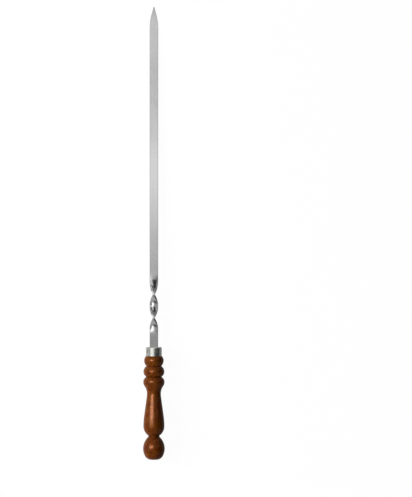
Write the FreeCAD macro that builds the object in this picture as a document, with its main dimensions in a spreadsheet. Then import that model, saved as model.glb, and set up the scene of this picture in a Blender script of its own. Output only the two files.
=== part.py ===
import FreeCAD, Part
import math
import os

import Sketcher

# Kebab skewer: a flat steel blade with one turn of twist, a turned wooden handle, a drawn steel
# ferrule cap over the handle's tenon, and the resin that beds the blade's tang in the handle.
# The skewer lies along X. The origin is the centre of the handle's flat butt, +X runs to the point,
# and +Z is the way that the broad side of the blade faces when the skewer lies on a table.

DOC = FreeCAD.newDocument("kebab_skewer")

# Driving dimensions in millimetres and degrees. Lengths run along the skewer, butt to point.
SIZES = {
    # Turned handle, butt first
    "butt_diameter": (17.1, "blunt end of the ball, before its edge is rounded"),
    "butt_rounding": (10.0, "rounding of that edge, which leaves a small flat"),
    "ball_back_length": (15.8, "butt to the ball's largest diameter"),
    "ball_diameter": (31.0, "ball at the end of the handle"),
    "ball_front_length": (17.2, "largest diameter to the neck"),
    "neck_diameter": (16.0, "neck between ball and grip"),
    "neck_length": (1.6, "cylindrical part of the neck"),
    "grip_back_length": (13.1, "neck to the grip's largest diameter"),
    "grip_diameter": (30.0, "grip at its largest"),
    "grip_front_length": (47.1, "largest diameter to the waist"),
    "grip_crown_share": (0.517, "crown radius as a share of a grip without a straight taper"),
    "waist_back_share": (0.173, "waist radius behind, as a share of the same"),
    "waist_diameter": (19.9, "waist between grip and rear bead"),
    "rear_bead_back_length": (16.5, "waist to the rear bead's largest diameter"),
    "rear_bead_back_share": (0.355, "the bead's part of the curve that climbs from the waist"),
    "rear_bead_diameter": (30.5, "bead next to the grip"),
    "rear_bead_front_length": (7.4, "largest diameter to the rear groove"),
    "rear_groove_diameter": (21.6, "bottom of the groove"),
    "middle_bead_back_length": (7.3, "rear groove to largest diameter"),
    "middle_bead_diameter": (29.9, "bead in the middle"),
    "middle_bead_front_length": (8.1, "largest diameter to the front groove"),
    "front_groove_diameter": (21.4, "bottom of the groove"),
    "front_bead_back_length": (7.7, "front groove to largest diameter"),
    "front_bead_diameter": (28.0, "bead next to the ferrule"),
    "front_bead_front_length": (6.5, "largest diameter to the ferrule"),
    "shoulder_diameter": (23.0, "wood where the ferrule seats"),
    # Bore for the tang
    "bore_diameter": (9.0, "blind hole from the tenon's end"),
    "bore_end_gap": (5.0, "hole beyond the end of the tang"),
    # Ferrule cap
    "ferrule_diameter": (22.5, "outside"),
    "ferrule_length": (12.8, "outside, end wall included"),
    "ferrule_wall": (0.8, "sheet thickness"),
    "ferrule_rounding": (1.3, "drawn corner of the cap, outside"),
    "slot_clearance": (0.15, "slot in the cap to the blade, each side"),
    "dent_radius": (8.0, "round nose of the punch that stakes the cap"),
    "dent_depth": (0.9, "how far the punch goes in"),
    "dent_from_rear": (5.6, "rear rim to the centre of the dent"),
    "dent_turn": (48.0, "round the skewer from the blade's upper face, towards +Y"),
    # Blade
    "blade_width": (12.0, "flat bar"),
    "blade_thickness": (3.0, "flat bar"),
    "edge_easing": (0.4, "softened corners of the bar"),
    "shank_length": (19.7, "flat between the cap and the twist"),
    "twist_length": (86.4, "twisted stretch"),
    "twist_angle": (360.0, "one whole left-handed turn"),
    "twist_run_out": (11.0, "twist easing off towards the handle"),
    "twist_run_in": (27.0, "twist easing off towards the point"),
    "flat_length": (349.7, "flat that holds the food"),
    "point_shoulder_length": (18.0, "rounded start of the point"),
    "point_root_width": (8.2, "width where the straight sides of the point start"),
    "point_root_thickness": (2.4, "thickness there, thinned from the start of the point"),
    "point_side_length": (8.8, "straight sides, thinning slowly, to the nose"),
    "nose_width": (3.1, "width where the nose starts"),
    "nose_thickness": (1.8, "thickness there"),
    "nose_length": (4.9, "nose down to the tip, thinning faster"),
    "tip_width": (0.9, "blunted tip"),
    "tip_thickness": (1.0, "blunted tip"),
    "tip_easing": (0.3, "softened corners of the tip"),
    # Tang in the handle
    "tang_length": (90.0, "from the blade's shoulders"),
    "tang_width": (7.0, "at the shoulders"),
    "tang_end_width": (4.0, "at its end"),
}

TWIST_STEPS = 30
SHOULDER_STEPS = 4
RELATIVE_ERROR = 1e-6


def make_sheet():
    sheet = DOC.addObject("Spreadsheet::Sheet", "Sizes")
    for row, (alias, (value, note)) in enumerate(SIZES.items(), start=1):
        sheet.set(f"A{row}", alias)
        sheet.set(f"B{row}", str(value))
        sheet.set(f"C{row}", note)
        sheet.setAlias(f"B{row}", alias)
    DOC.recompute()
    return sheet


SHEET = make_sheet()


def of(alias):
    """The expression for one cell."""
    return f"Sizes.{alias}"


def total(*aliases):
    """The expression for a sum of cells."""
    return "(" + " + ".join(of(alias) for alias in aliases) + ")"


def number(expression):
    """The present value of an expression."""
    return float(SHEET.evalExpression(expression))


# Places along the skewer
HANDLE_LENGTHS = (
    "ball_back_length", "ball_front_length", "neck_length", "grip_back_length",
    "grip_front_length", "rear_bead_back_length", "rear_bead_front_length",
    "middle_bead_back_length", "middle_bead_front_length",
    "front_bead_back_length", "front_bead_front_length",
)
FERRULE_PLACE = total(*HANDLE_LENGTHS)
TENON_LENGTH = f"({of('ferrule_length')} - {of('ferrule_wall')})"
TENON_END = f"({FERRULE_PLACE} + {TENON_LENGTH})"
TENON_RADIUS = f"({of('ferrule_diameter')} / 2 - {of('ferrule_wall')})"
BORE_DEPTH = total("tang_length", "bore_end_gap")

# Places along the blade, counted from its shoulders
TWIST_PLACE = total("ferrule_wall", "shank_length")
FLAT_PLACE = f"({TWIST_PLACE} + {of('twist_length')})"
POINT_PLACE = f"({FLAT_PLACE} + {of('flat_length')})"
POINT_ROOT_PLACE = f"({POINT_PLACE} + {of('point_shoulder_length')})"
NOSE_PLACE = f"({POINT_ROOT_PLACE} + {of('point_side_length')})"
TIP_PLACE = f"({NOSE_PLACE} + {of('nose_length')})"


def new_body(name, place):
    """An empty body whose own origin sits at a place along the skewer."""
    body = DOC.addObject("PartDesign::Body", name)
    body.Label = name
    body.setExpression("Placement.Base.x", place)
    return body


def new_sketch(body, name, plane, ahead=None, turn=None):
    """A sketch on one of the body's planes, moved along the plane's normal and turned about it."""
    sketch = body.newObject("Sketcher::SketchObject", name)
    support = next(part for part in body.Origin.OriginFeatures if part.Role == plane)
    sketch.AttachmentSupport = [(support, "")]
    sketch.MapMode = "FlatFace"
    if ahead:
        sketch.setExpression("AttachmentOffset.Base.z", ahead)
    if turn:
        sketch.setExpression("AttachmentOffset.Rotation.Angle", turn)
    return sketch


def bind(sketch, kind, where, expression):
    """A dimension of the sketch, bound to an expression."""
    index = sketch.addConstraint(Sketcher.Constraint(kind, *where, number(expression)))
    sketch.setExpression(f"Constraints[{index}]", expression)


def tie(sketch, kind, *where):
    """A geometric constraint of the sketch."""
    sketch.addConstraint(Sketcher.Constraint(kind, *where))


# How a sketch numbers the spots of an edge, its own two axes and its origin
START, END, CENTRE = range(1, 4)
V_AXIS, H_AXIS = range(-2, 0)
ORIGIN = (H_AXIS, START)


def point(x, y):
    return FreeCAD.Vector(x, y, 0)


def draw_line(sketch, a, b):
    return sketch.addGeometry(Part.LineSegment(point(*a), point(*b)), False)


def draw_arc(sketch, centre, a, b):
    """An arc about a centre, anticlockwise from a to b."""
    (cx, cy), (ax, ay), (bx, by) = centre, a, b
    circle = Part.Circle(point(cx, cy), FreeCAD.Vector(0, 0, 1), math.hypot(ax - cx, ay - cy))
    first, last = math.atan2(ay - cy, ax - cx), math.atan2(by - cy, bx - cx)
    return sketch.addGeometry(Part.ArcOfCircle(circle, first, last), False)


def close_corners(sketch, ends, smooth=()):
    """Joins the end of each edge to the start of the next, all the way round.

    A joint named in smooth is tangent, and every other one is a plain corner.
    """
    for (_, leave), (arrive, _) in zip(ends, ends[1:] + ends[:1]):
        kind = "Tangent" if (leave, arrive) in smooth else "Coincident"
        tie(sketch, kind, *leave, *arrive)


def fill_polygon(sketch, corners):
    """Lines through the corners in turn, closed, as the sketch's edges 0, 1, 2 and on."""
    for a, b in zip(corners, corners[1:] + corners[:1]):
        draw_line(sketch, a, b)
    close_corners(sketch, [((i, START), (i, END)) for i in range(len(corners))])


def bar_section(body, name, ahead, turn=None, width=None, thickness=None, easing=None):
    """Section of the bar across the skewer: a rectangle with its corners taken off, on the axis."""
    width = width or of("blade_width")
    thickness = thickness or of("blade_thickness")
    easing = easing or of("edge_easing")
    face_width = f"({width} - 2 * {easing})"
    side_height = f"({thickness} - 2 * {easing})"
    w, t = number(width) / 2, number(thickness) / 2
    f, s = number(face_width) / 2, number(side_height) / 2
    sketch = new_sketch(body, name, "YZ_Plane", ahead, turn)
    fill_polygon(sketch, [(-f, -t), (f, -t), (w, -s), (w, s), (f, t), (-f, t), (-w, s), (-w, -s)])
    lower, right, upper, left = 0, 2, 4, 6
    for face, opposite, mirror in ((lower, upper, V_AXIS), (right, left, H_AXIS)):
        tie(sketch, "Symmetric", face, START, face, END, mirror)
        tie(sketch, "Symmetric", opposite, START, opposite, END, mirror)
        tie(sketch, "Symmetric", face, START, opposite, START, *ORIGIN)
    bind(sketch, "DistanceX", (lower, START, lower, END), face_width)
    bind(sketch, "DistanceY", (right, START, right, END), side_height)
    bind(sketch, "DistanceY", (lower, START, upper, START), thickness)
    bind(sketch, "DistanceX", (left, START, right, START), width)
    return sketch


def tang_outline(body, name):
    """Plan of the tang, from the blade's shoulders back into the handle."""
    length, root, end = of("tang_length"), of("tang_width"), of("tang_end_width")
    back, r, e = -number(length), number(root) / 2, number(end) / 2
    sketch = new_sketch(body, name, "XY_Plane")
    fill_polygon(sketch, [(0, -r), (0, r), (back, e), (back, -e)])
    front, rear = 0, 2
    tie(sketch, "Symmetric", front, START, front, END, H_AXIS)
    tie(sketch, "Symmetric", rear, START, rear, END, H_AXIS)
    tie(sketch, "PointOnObject", front, START, V_AXIS)
    bind(sketch, "DistanceY", (front, START, front, END), root)
    bind(sketch, "DistanceY", (rear, END, rear, START), end)
    bind(sketch, "DistanceX", (rear, START, front, END), length)
    return sketch


def pad(body, name, sketch, length, both_ways=False):
    feature = body.newObject("PartDesign::Pad", name)
    feature.Profile = sketch
    feature.setExpression("Length", length)
    feature.Midplane = both_ways
    return feature


def pocket(body, name, sketch, length, both_ways=False, along_normal=False):
    feature = body.newObject("PartDesign::Pocket", name)
    feature.Profile = sketch
    feature.setExpression("Length", length)
    feature.Midplane = both_ways
    feature.Reversed = along_normal
    return feature


def loft(body, name, sections, ruled=False):
    feature = body.newObject("PartDesign::AdditiveLoft", name)
    feature.Profile = sections[0]
    feature.Sections = sections[1:]
    feature.Ruled = ruled
    return feature


def twist_turn(share):
    """Turn of the bar at a share of the twist's length, as an expression.

    The rate of twist climbs steadily over the run-out, holds, and falls steadily over the run-in.
    The turn counts down, because the twist is left-handed.
    """
    run_out, run_in, length = of("twist_run_out"), of("twist_run_in"), of("twist_length")
    rate = f"({of('twist_angle')} / ({length} - {run_out} / 2 - {run_in} / 2))"
    along = f"({share} * {length})"
    left = f"({length} - {along})"
    climbing = f"{rate} * {along} ^ 2 / (2 * {run_out})"
    holding = f"{rate} * ({along} - {run_out} / 2)"
    falling = f"({of('twist_angle')} - {rate} * {left} ^ 2 / (2 * {run_in}))"
    return f"-({along} < {run_out} ? {climbing} : ({left} < {run_in} ? {falling} : {holding}))"


def point_width(share):
    """Width of the point's rounded shoulder, leaving the bar's side along an arc, as an expression."""
    drop = f"(({of('blade_width')} - {of('point_root_width')}) / 2)"
    run = of("point_shoulder_length")
    radius = f"(({run} ^ 2 + {drop} ^ 2) / (2 * {drop}))"
    return f"({of('blade_width')} - 2 * ({radius} - sqrt({radius} ^ 2 - ({share} * {run}) ^ 2)))"


def point_thickness(share):
    """Thickness of the point's rounded shoulder, which thins evenly, as an expression."""
    thinning = f"({of('blade_thickness')} - {of('point_root_thickness')})"
    return f"({of('blade_thickness')} - {share} * {thinning})"


def make_blade():
    body = new_body("blade", TENON_END)
    pad(body, "tang", tang_outline(body, "tang_plan"), of("blade_thickness"), both_ways=True)
    pad(body, "shank", bar_section(body, "shank_section", None), TWIST_PLACE)

    twist = []
    for step in range(TWIST_STEPS + 1):
        share = step / TWIST_STEPS
        ahead = f"{TWIST_PLACE} + {share} * {of('twist_length')}"
        twist.append(bar_section(body, f"twist_section_{step}", ahead, twist_turn(share)))
    loft(body, "twist", twist)

    pad(body, "flat", bar_section(body, "flat_section", FLAT_PLACE), of("flat_length"))

    shoulder = []
    for step in range(SHOULDER_STEPS + 1):
        share = step / SHOULDER_STEPS
        ahead = f"{POINT_PLACE} + {share} * {of('point_shoulder_length')}"
        name = f"shoulder_section_{step}"
        shoulder.append(bar_section(body, name, ahead, width=point_width(share),
                                    thickness=point_thickness(share)))
    loft(body, "point_shoulder", shoulder)

    root = bar_section(body, "root_section", POINT_ROOT_PLACE, width=of("point_root_width"),
                       thickness=of("point_root_thickness"))
    nose = bar_section(body, "nose_section", NOSE_PLACE, width=of("nose_width"),
                       thickness=of("nose_thickness"))
    tip = bar_section(body, "tip_section", TIP_PLACE, width=of("tip_width"),
                      thickness=of("tip_thickness"), easing=of("tip_easing"))
    loft(body, "point", [root, nose, tip], ruled=True)
    return body


class TurnedOutline:
    """Half outline of a turned piece, drawn from the back to the front above the skewer's axis.

    Each edge starts where the last one ended. Points are (distance along, radius).
    """

    def __init__(self, sketch):
        self.sketch = sketch
        self.at = (0.0, 0.0)
        self.ends = []

    def line(self, to):
        edge = draw_line(self.sketch, self.at, to)
        self.ends.append(((edge, START), (edge, END)))
        self.at = to
        return edge

    def arc(self, centre, to):
        """An arc that bulges outwards if its centre is nearer the axis than the outline."""
        outwards = centre[1] < self.at[1]
        if outwards:
            edge = draw_arc(self.sketch, centre, to, self.at)
            self.ends.append(((edge, END), (edge, START)))
        else:
            edge = draw_arc(self.sketch, centre, self.at, to)
            self.ends.append(((edge, START), (edge, END)))
        self.at = to
        return edge

    def step(self, expression):
        """Binds how far the last edge goes along the skewer."""
        back, front = self.ends[-1]
        bind(self.sketch, "DistanceX", (*back, *front), expression)

    def radius(self, expression):
        """Binds how far out the last edge ends."""
        front = self.ends[-1][1]
        bind(self.sketch, "DistanceY", (*ORIGIN, *front), expression)

    def crown(self, edge, place):
        """Puts the centre of an arc square to the axis from one of its ends, a highest or lowest point."""
        tie(self.sketch, "Vertical", edge, CENTRE, *place)


def half(alias):
    return f"({of(alias)} / 2)"


def hill(outline, length, diameter, climbs):
    """A quarter-like arc between a highest point of the outline and a lower one ahead or behind."""
    x, r = outline.at
    run, end = number(of(length)), number(half(diameter))
    drop = abs(end - r)
    size = (run ** 2 + drop ** 2) / (2 * drop)
    top = (x + run, end) if climbs else (x, r)
    edge = outline.arc((top[0], top[1] - size), (x + run, end))
    outline.step(of(length))
    outline.radius(half(diameter))
    outline.crown(edge, outline.ends[-1][1 if climbs else 0])


def curve_sum(run, fall):
    """Sum of the radii of two arcs that meet smoothly between parallel tangents, as an expression."""
    return f"(({run} ^ 2 + {fall} ^ 2) / (2 * {fall}))"


def grip_taper(outline):
    """Grip from its largest diameter to the waist: a crown, a straight taper and a hollow."""
    run, fall = of("grip_front_length"), f"({half('grip_diameter')} - {half('waist_diameter')})"
    crown_size = f"({of('grip_crown_share')} * {curve_sum(run, fall)})"
    waist_size = f"({of('waist_back_share')} * {curve_sum(run, fall)})"
    r1, r2, length, drop = (number(e) for e in (crown_size, waist_size, run, fall))
    both = r1 + r2
    lean = math.atan2(length, both - drop) - math.acos(both / math.hypot(length, both - drop))
    (x, r), sketch = outline.at, outline.sketch
    leave = (x + r1 * math.sin(lean), r - r1 * (1 - math.cos(lean)))
    end = (x + length, r - drop)
    meet = (end[0] - r2 * math.sin(lean), end[1] + r2 * (1 - math.cos(lean)))
    crown = outline.arc((x, r - r1), leave)
    crown_ends = outline.ends[-1]
    outline.crown(crown, crown_ends[0])
    bind(sketch, "Radius", (crown,), crown_size)
    taper = outline.line(meet)
    waist = outline.arc((end[0], end[1] + r2), end)
    waist_ends = outline.ends[-1]
    outline.crown(waist, waist_ends[1])
    bind(sketch, "Radius", (waist,), waist_size)
    outline.radius(half("waist_diameter"))
    bind(sketch, "DistanceX", (*crown_ends[0], *waist_ends[1]), run)
    return [((crown, START), (taper, START)), ((taper, END), (waist, START))]


def bead_climb(outline):
    """From the waist up to the rear bead: a hollow and the bead's crown, meeting smoothly."""
    run = of("rear_bead_back_length")
    climb = f"({half('rear_bead_diameter')} - {half('waist_diameter')})"
    bead_size = f"({of('rear_bead_back_share')} * {curve_sum(run, climb)})"
    (x, r), sketch = outline.at, outline.sketch
    both, bead, length, rise = (number(e) for e in (curve_sum(run, climb), bead_size, run, climb))
    lean = 2 * math.atan2(rise, length)
    hollow = both - bead
    meet = (x + hollow * math.sin(lean), r + hollow * (1 - math.cos(lean)))
    foot = outline.arc((x, r + hollow), meet)
    foot_ends = outline.ends[-1]
    outline.crown(foot, foot_ends[0])
    crown = outline.arc((x + length, r + rise - bead), (x + length, r + rise))
    crown_ends = outline.ends[-1]
    outline.crown(crown, crown_ends[1])
    bind(sketch, "Radius", (crown,), bead_size)
    outline.radius(half("rear_bead_diameter"))
    bind(sketch, "DistanceX", (*foot_ends[0], *crown_ends[1]), run)
    return [((foot, END), (crown, END))]


def handle_outline(body):
    sketch = new_sketch(body, "turned_outline", "XY_Plane")
    outline = TurnedOutline(sketch)
    butt = outline.line((0.0, number(half("butt_diameter"))))
    outline.radius(half("butt_diameter"))
    hill(outline, "ball_back_length", "ball_diameter", climbs=True)
    hill(outline, "ball_front_length", "neck_diameter", climbs=False)
    neck = outline.line((outline.at[0] + number(of("neck_length")), outline.at[1]))
    outline.step(of("neck_length"))
    hill(outline, "grip_back_length", "grip_diameter", climbs=True)
    smooth = grip_taper(outline)
    smooth += bead_climb(outline)
    hill(outline, "rear_bead_front_length", "rear_groove_diameter", climbs=False)
    hill(outline, "middle_bead_back_length", "middle_bead_diameter", climbs=True)
    hill(outline, "middle_bead_front_length", "front_groove_diameter", climbs=False)
    hill(outline, "front_bead_back_length", "front_bead_diameter", climbs=True)
    hill(outline, "front_bead_front_length", "shoulder_diameter", climbs=False)

    length = outline.at[0]
    seat = outline.line((length, number(TENON_RADIUS)))
    outline.radius(TENON_RADIUS)
    tenon = outline.line((length + number(TENON_LENGTH), number(TENON_RADIUS)))
    outline.step(TENON_LENGTH)
    face = outline.line((outline.at[0], 0.0))
    axis = outline.line((0.0, 0.0))

    close_corners(sketch, outline.ends, smooth)
    for level in (neck, tenon, axis):
        tie(sketch, "Horizontal", level)
    for upright in (butt, seat, face):
        tie(sketch, "Vertical", upright)
    tie(sketch, "Coincident", butt, START, *ORIGIN)
    return sketch


def round_sketch(body, name, ahead, diameter):
    """A circle about the skewer's axis."""
    sketch = new_sketch(body, name, "YZ_Plane", ahead)
    circle = Part.Circle(point(0, 0), FreeCAD.Vector(0, 0, 1), number(diameter) / 2)
    edge = sketch.addGeometry(circle, False)
    tie(sketch, "Coincident", edge, CENTRE, *ORIGIN)
    bind(sketch, "Diameter", (edge,), diameter)
    return sketch


def press_dent(body, name, rear, radius):
    """Takes the punch's round nose out of the body, off the axis and turned towards +Y."""
    reach = f"({half('ferrule_diameter')} + {of('dent_radius')} - {of('dent_depth')})"
    nose = body.newObject("PartDesign::SubtractiveSphere", name)
    nose.setExpression("Radius", radius)
    nose.setExpression("Placement.Base.x", f"{rear} + {of('dent_from_rear')}")
    nose.setExpression("Placement.Base.y", f"{reach} * sin({of('dent_turn')})")
    nose.setExpression("Placement.Base.z", f"{reach} * cos({of('dent_turn')})")
    return nose


def make_handle():
    body = new_body("handle", "0")
    turned = body.newObject("PartDesign::Revolution", "turned")
    turned.Profile = handle_outline(body)
    turned.ReferenceAxis = (turned.Profile[0], ["H_Axis"])
    turned.Angle = 360
    sanded = round_rim(body, "sanded_butt", turned, "0", half("butt_diameter"), of("butt_rounding"))
    cap_inside = f"({of('ferrule_rounding')} - {of('ferrule_wall')})"
    round_rim(body, "tenon_corner", sanded, TENON_END, TENON_RADIUS, cap_inside)
    bore = round_sketch(body, "bore_circle", TENON_END, of("bore_diameter"))
    pocket(body, "bore", bore, BORE_DEPTH)
    press_dent(body, "staked_dent", FERRULE_PLACE, f"{of('dent_radius')} + {of('ferrule_wall')}")
    return body


def same(a, b):
    return math.isclose(a, b, rel_tol=RELATIVE_ERROR, abs_tol=RELATIVE_ERROR)


def round_rim(body, name, base, along, rim_radius, size):
    """Rounds the circular edge of the base that lies about the axis at a place and radius."""
    DOC.recompute()
    place, wanted = number(along), number(rim_radius)
    rims = [
        f"Edge{index}" for index, edge in enumerate(base.Shape.Edges, start=1)
        if isinstance(edge.Curve, Part.Circle)
        and same(edge.Curve.Radius, wanted) and same(edge.Curve.Center.x, place)
    ]
    feature = body.newObject("PartDesign::Fillet", name)
    feature.Base = (base, rims)
    feature.setExpression("Radius", size)
    return feature


def rear_face(shape):
    """Name of the flat face across the skewer at the body's own origin."""
    for index, face in enumerate(shape.Faces, start=1):
        if isinstance(face.Surface, Part.Plane) and same(face.BoundBox.XMax, 0):
            return f"Face{index}"
    raise ValueError("the shape has no flat face at its origin")


def make_ferrule():
    """A cup drawn from sheet: a solid plug, dented, hollowed from behind, and slotted for the blade."""
    body = new_body("ferrule", FERRULE_PLACE)
    outside = round_sketch(body, "outside_circle", None, of("ferrule_diameter"))
    plug = pad(body, "plug", outside, of("ferrule_length"))
    round_rim(body, "drawn_corner", plug, of("ferrule_length"), half("ferrule_diameter"),
              of("ferrule_rounding"))
    dented = press_dent(body, "dent", "0", of("dent_radius"))
    DOC.recompute()
    hollow = body.newObject("PartDesign::Thickness", "sheet")
    hollow.Base = (dented, [rear_face(dented.Shape)])
    hollow.setExpression("Value", of("ferrule_wall"))
    hollow.Reversed = True
    hollow.Join = "Intersection"
    DOC.recompute()
    width = f"({of('blade_width')} + 2 * {of('slot_clearance')})"
    thickness = f"({of('blade_thickness')} + 2 * {of('slot_clearance')})"
    slot = bar_section(body, "slot_section", TENON_LENGTH, width=width, thickness=thickness)
    pocket(body, "slot", slot, of("ferrule_wall"), along_normal=True)
    return body


def make_tang_adhesive():
    """Cured resin that fills the bore round the tang."""
    body = new_body("tang_adhesive", TENON_END)
    bore = round_sketch(body, "bore_circle", f"-{BORE_DEPTH}", of("bore_diameter"))
    pad(body, "filling", bore, BORE_DEPTH)
    pocket(body, "tang_space", tang_outline(body, "tang_plan"), of("blade_thickness"), both_ways=True)
    return body


def check_all(bodies):
    for thing in DOC.Objects:
        bad = {"Invalid", "Error"} & set(thing.State)
        if bad:
            raise RuntimeError(f"{thing.Name} is {bad}")
    for body in bodies:
        shape = body.Shape
        if shape.isNull() or not shape.isValid() or len(shape.Solids) != 1:
            raise RuntimeError(f"{body.Label} is not one valid solid")


def main():
    bodies = [make_blade(), make_handle(), make_ferrule(), make_tang_adhesive()]
    DOC.recompute()
    check_all(bodies)
    os.makedirs("parts", exist_ok=True)
    for body in bodies:
        body.Shape.exportStep(f"parts/{body.Label}.step")
        box = body.Shape.BoundBox
        print(body.Label, round(body.Shape.Volume, 2), [round(v, 2) for v in (
            box.XMin, box.XMax, box.YMin, box.YMax, box.ZMin, box.ZMax)])


main()
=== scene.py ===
"""Kebab skewer: a flat twisted steel blade, a plated ferrule cap and a turned, lacquered handle.

Lengths are in metres. The skewer lies along X: the handle's flat butt is at the origin, +X runs to
the point, and +Z is the way the broad side of the blade faces.
"""

import math

import bmesh
import bpy
from bpy.props import FloatProperty, FloatVectorProperty, PointerProperty
from bpy.types import NodeSocket, Operator, Panel, PropertyGroup
from mathutils import Matrix, Vector


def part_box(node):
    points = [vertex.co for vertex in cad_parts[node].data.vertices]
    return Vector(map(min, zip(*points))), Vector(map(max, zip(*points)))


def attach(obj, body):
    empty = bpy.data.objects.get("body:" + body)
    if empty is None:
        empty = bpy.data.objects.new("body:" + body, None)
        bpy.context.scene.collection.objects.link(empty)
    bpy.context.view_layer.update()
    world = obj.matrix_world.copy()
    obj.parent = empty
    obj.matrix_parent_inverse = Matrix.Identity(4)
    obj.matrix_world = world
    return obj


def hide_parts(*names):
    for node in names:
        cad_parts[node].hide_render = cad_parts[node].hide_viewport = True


bl_info = {
    "name": "Kebab skewer",
    "version": (1, 0, 0),
    "blender": (4, 5, 0),
    "location": "3D View > Sidebar > Skewer",
    "description": "Builds the blade, ferrule cap, turned handle and studio of a kebab skewer",
    "category": "Object",
}

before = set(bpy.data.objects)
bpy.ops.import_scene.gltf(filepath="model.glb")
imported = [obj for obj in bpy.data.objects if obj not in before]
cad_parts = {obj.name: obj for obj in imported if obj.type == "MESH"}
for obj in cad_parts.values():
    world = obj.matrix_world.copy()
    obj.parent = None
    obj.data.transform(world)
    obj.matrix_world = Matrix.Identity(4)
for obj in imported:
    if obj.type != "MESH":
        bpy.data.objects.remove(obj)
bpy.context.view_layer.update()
_, BLADE_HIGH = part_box("blade")
CAP_LOW, CAP_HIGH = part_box("ferrule")

# Fineness of the meshes
HANDLE_TURN = 144  # steps round the handle
CAP_TURN = 192  # steps round the cap, finer for its dent
TENON_ROWS = 24  # rows along the dented tenon
CAP_ROWS = 40  # rows along the cap's side
ARC_STEP = 0.0006  # longest step along an arc
BUTT_STEP = 0.0002  # the same in the butt's rounding
CORNER_STEP = 0.00016  # the same in the cap's corner
BAR_COLUMNS = 12  # strips across the bar's face
TWIST_ROWS = 150  # sections along the twist
SHOULDER_ROWS = 12  # sections along the point's shoulder

SAME_POINT = 1e-6  # points nearer than this are one
SAME_PLACE = 1e-5  # places along the skewer nearer than this are one
TIP_MISS = 1e-4  # most that the tip may lie off the solid's


# Sizes and colours

def length(name, text, default):
    return FloatProperty(name=name, description=text, default=default, min=0.0,
                         precision=5, subtype="DISTANCE", unit="LENGTH")


def share(name, text, default):
    return FloatProperty(name=name, description=text, default=default, min=0.0, max=1.0,
                         subtype="FACTOR")


def angle(name, text, degrees):
    return FloatProperty(name=name, description=text, default=math.radians(degrees),
                         subtype="ANGLE", unit="ROTATION")


def colour(name, text, default):
    return FloatVectorProperty(name=name, description=text, default=default, size=3,
                               min=0.0, max=1.0, subtype="COLOR")


def amount(name, text, default):
    return FloatProperty(name=name, description=text, default=default, min=0.0)


class HandleSizes(PropertyGroup):
    """Turned handle, from the butt to the ferrule."""
    butt: length("Butt", "Blunt end of the ball, before its edge is rounded", 0.0171)
    butt_rounding: length("Butt rounding", "Rounding of that edge", 0.0100)
    ball: length("Ball", "Diameter of the end ball", 0.0310)
    ball_back: length("Ball, back", "Butt to the ball's largest diameter", 0.0158)
    ball_front: length("Ball, front", "Largest diameter to the neck", 0.0172)
    neck: length("Neck", "Diameter of the neck", 0.0160)
    neck_run: length("Neck run", "Length of the neck", 0.0016)
    grip: length("Grip", "Diameter of the grip", 0.0300)
    grip_back: length("Grip, back", "Neck to the grip's largest diameter", 0.0131)
    grip_front: length("Grip, front", "Largest diameter to the waist", 0.0471)
    grip_crown: share("Grip crown", "Crown radius against that of a plain arc", 0.517)
    waist_hollow: share("Waist hollow", "Radius behind the waist against the same arc", 0.173)
    waist: length("Waist", "Diameter of the waist", 0.0199)
    rear_bead: length("Rear bead", "Diameter of the bead next to the grip", 0.0305)
    rear_bead_back: length("Rear bead, back", "Waist to the bead's largest diameter", 0.0165)
    rear_bead_crown: share("Rear bead crown", "The bead's part of the climb", 0.355)
    rear_bead_front: length("Rear bead, front", "Largest diameter to the groove", 0.0074)
    rear_groove: length("Rear groove", "Diameter in the groove", 0.0216)
    middle_bead: length("Middle bead", "Diameter of the bead in the middle", 0.0299)
    middle_bead_back: length("Middle bead, back", "Groove to largest diameter", 0.0073)
    middle_bead_front: length("Middle bead, front", "Largest diameter to the groove", 0.0081)
    front_groove: length("Front groove", "Diameter in the groove", 0.0214)
    front_bead: length("Front bead", "Diameter of the bead next to the cap", 0.0280)
    front_bead_back: length("Front bead, back", "Groove to largest diameter", 0.0077)
    front_bead_front: length("Front bead, front", "Largest diameter to the cap", 0.0065)
    shoulder: length("Shoulder", "Diameter of the wood where the cap seats", 0.0230)
    groove_rounding: length("Groove rounding", "Radius that the tool leaves in a groove", 0.0004)
    bore: length("Bore", "Diameter of the hole for the tang", 0.0090)
    bore_depth: length("Bore depth", "Depth of that hole", 0.0950)


class CapSizes(PropertyGroup):
    """Drawn ferrule cap, staked at its left."""
    outside: length("Diameter", "Outside diameter", 0.0225)
    wall: length("Wall", "Sheet thickness", 0.0008)
    rounding: length("Corner", "Outside radius of the drawn corner", 0.0013)
    slot_gap: length("Slot gap", "Slot to the blade, each side", 0.00015)
    dent_nose: length("Dent nose", "Radius of the punch that stakes the cap", 0.0080)
    dent_depth: length("Dent depth", "How far the punch went in", 0.0009)
    dent_ahead: length("Dent place", "Rear rim to the centre of the dent", 0.0056)
    dent_turn: angle("Dent turn", "Round the skewer from the blade's face to the dent", 48.0)
    dent_lip: length("Dent lip", "Softness of the edge of the dent", 0.00022)
    rim_rounding: length("Rim rounding", "Worn edges of the sheet", 0.00012)


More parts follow.
